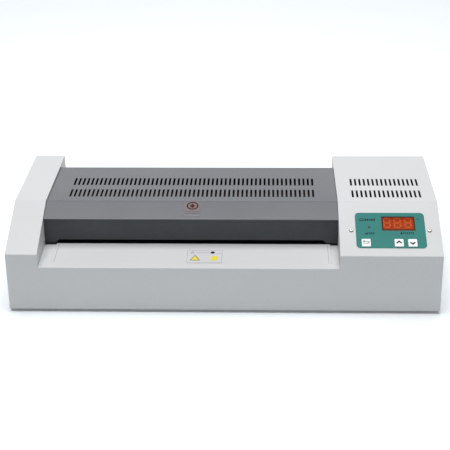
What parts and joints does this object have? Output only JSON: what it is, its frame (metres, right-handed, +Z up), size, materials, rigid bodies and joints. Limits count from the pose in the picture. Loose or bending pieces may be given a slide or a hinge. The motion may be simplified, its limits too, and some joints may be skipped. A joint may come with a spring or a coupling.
{
  "type": "pouch laminator",
  "caption": "Desktop pouch laminator: sheet-metal case with two side towers, sloped feed tray, vented dark hood, geared heated rollers and a sloped key panel with a numeric display.",
  "frame": {"origin": "under the middle of the footprint, on the surface the feet stand on", "axes": "+X across the width, with the control panel at +X; +Y from the feed side to the exit side; +Z up"},
  "size_m": [0.51, 0.228, 0.1094],
  "materials": {
    "casing_paint": "fine textured satin powder coat, light warm grey",
    "hood_paint": "fine textured satin powder coat, dark grey",
    "guard_plastic": "matt heat-resistant plastic, charcoal",
    "pan_steel": "zinc-plated sheet",
    "frame_steel": "zinc-plated sheet",
    "shaft_steel": "ground",
    "blackened_steel": "blackened",
    "screw_steel": "bright plated",
    "spring_steel": "drawn wire",
    "silicone": "matt brick-red silicone rubber",
    "gear_plastic": "natural nylon",
    "bush_plastic": "filled bearing plastic",
    "aluminium": "extruded",
    "mica": "mica strip",
    "thermostat_plastic": "phenolic",
    "motor_steel": "yellow-passivated steel",
    "board": "green circuit board",
    "spacer_plastic": "white nylon",
    "display_block": "display block",
    "window_tint": "orange-red lens",
    "overlay_print": "teal printed film",
    "key_white": "white key with a plain dark symbol",
    "led": "red lamp",
    "switch_black": "black",
    "inlet_black": "black",
    "foot_rubber": "black rubber",
    "label_film": "plain printed label"
  },
  "bodies": {
    "chassis": {"base_pan": "pan_steel", "front_panel": "casing_paint", "rear_panel": "casing_paint", "left_tower_cover": "casing_paint", "right_tower_cover": "casing_paint", "hood": "hood_paint", "feed_guard": "guard_plastic", "feed_tray": "casing_paint", "feed_plate": "casing_paint", "exit_tray": "casing_paint", "left_side_frame": "frame_steel", "right_side_frame": "frame_steel", "tie_rods": "blackened_steel", "frame_screws": "screw_steel", "lower_bushes": "bush_plastic", "front_pressure_springs": "spring_steel", "rear_pressure_springs": "spring_steel", "idler_pin": "shaft_steel", "motor_bracket": "frame_steel", "motor_gearbox": "motor_steel", "motor_can": "motor_steel", "upper_heater_shoe": "aluminium", "lower_heater_shoe": "aluminium", "heating_elements": "mica", "thermostats": "thermostat_plastic", "temperature_sensor": "shaft_steel", "power_board": "board", "board_standoffs": "spacer_plastic", "display_board": "board", "display_module": "display_block", "display_window": "window_tint", "panel_overlay": "overlay_print", "ready_led": "led", "panel_screws": "screw_steel", "switch_body": "switch_black", "power_inlet": "inlet_black", "case_screws": "screw_steel", "feet": "foot_rubber", "hood_label": "label_film", "tray_label": "label_film"},
    "front_carriage": {"front_bearing_blocks": "bush_plastic"},
    "rear_carriage": {"rear_bearing_blocks": "bush_plastic"},
    "idler": {"idler_gear": "gear_plastic"},
    "pinion": {"drive_pinion": "shaft_steel"},
    "reverse_key": {"key_reverse": "key_white"},
    "up_key": {"key_up": "key_white"},
    "down_key": {"key_down": "key_white"},
    "rocker": {"switch_rocker": "switch_black"},
    "lower_front_roller": {"lower_front_roller_core": "shaft_steel", "lower_front_roller_sleeve": "silicone", "lower_front_gear": "gear_plastic"},
    "upper_front_roller": {"upper_front_roller_core": "shaft_steel", "upper_front_roller_sleeve": "silicone", "upper_front_gear": "gear_plastic"},
    "lower_rear_roller": {"lower_rear_roller_core": "shaft_steel", "lower_rear_roller_sleeve": "silicone", "lower_rear_gear": "gear_plastic"},
    "upper_rear_roller": {"upper_rear_roller_core": "shaft_steel", "upper_rear_roller_sleeve": "silicone", "upper_rear_gear": "gear_plastic"}
  },
  "joints": [
    {"name": "front_carriage_lift", "type": "slide", "parent": "chassis", "child": "front_carriage", "axis": [0, 0, 1], "range_m": [0, 0.0008], "stiffness_N_per_m": 9000, "springref_m": -0.002, "deforming": ["front_pressure_springs"]},
    {"name": "rear_carriage_lift", "type": "slide", "parent": "chassis", "child": "rear_carriage", "axis": [0, 0, 1], "range_m": [0, 0.0008], "stiffness_N_per_m": 9000, "springref_m": -0.002, "deforming": ["rear_pressure_springs"]},
    {"name": "lower_front_spin", "type": "hinge", "parent": "chassis", "child": "lower_front_roller", "pos_m": [0, -0.027, 0.0527], "axis": [1, 0, 0], "continuous": true},
    {"name": "upper_front_spin", "type": "hinge", "parent": "front_carriage", "child": "upper_front_roller", "pos_m": [0, -0.027, 0.0783], "axis": [1, 0, 0], "continuous": true},
    {"name": "lower_rear_spin", "type": "hinge", "parent": "chassis", "child": "lower_rear_roller", "pos_m": [0, 0.036, 0.0527], "axis": [1, 0, 0], "continuous": true},
    {"name": "upper_rear_spin", "type": "hinge", "parent": "rear_carriage", "child": "upper_rear_roller", "pos_m": [0, 0.036, 0.0783], "axis": [1, 0, 0], "continuous": true},
    {"name": "idler_spin", "type": "hinge", "parent": "chassis", "child": "idler", "pos_m": [0, 0.0045, 0.0527], "axis": [1, 0, 0], "continuous": true},
    {"name": "pinion_spin", "type": "hinge", "parent": "chassis", "child": "pinion", "pos_m": [0, 0.0045, 0.02432], "axis": [1, 0, 0], "continuous": true},
    {"name": "reverse_key_press", "type": "slide", "parent": "chassis", "child": "reverse_key", "axis": [0, 0.3891, -0.9212], "range_m": [0, 0.0005], "stiffness_N_per_m": 500, "springref_m": -0.001},
    {"name": "up_key_press", "type": "slide", "parent": "chassis", "child": "up_key", "axis": [0, 0.3891, -0.9212], "range_m": [0, 0.0005], "stiffness_N_per_m": 500, "springref_m": -0.001},
    {"name": "down_key_press", "type": "slide", "parent": "chassis", "child": "down_key", "axis": [0, 0.3891, -0.9212], "range_m": [0, 0.0005], "stiffness_N_per_m": 500, "springref_m": -0.001},
    {"name": "switch_rock", "type": "hinge", "parent": "chassis", "child": "rocker", "pos_m": [0.166, 0.105, 0.048], "axis": [1, 0, 0], "range_deg": [0, 20]}
  ],
  "couplings": [
    {"joint": "upper_front_spin", "follows": "lower_front_spin", "ratio": -1},
    {"joint": "lower_rear_spin", "follows": "lower_front_spin", "ratio": 1},
    {"joint": "upper_rear_spin", "follows": "lower_front_spin", "ratio": -1},
    {"joint": "idler_spin", "follows": "lower_front_spin", "ratio": -0.66667},
    {"joint": "pinion_spin", "follows": "lower_front_spin", "ratio": 1.3333}
  ]
}
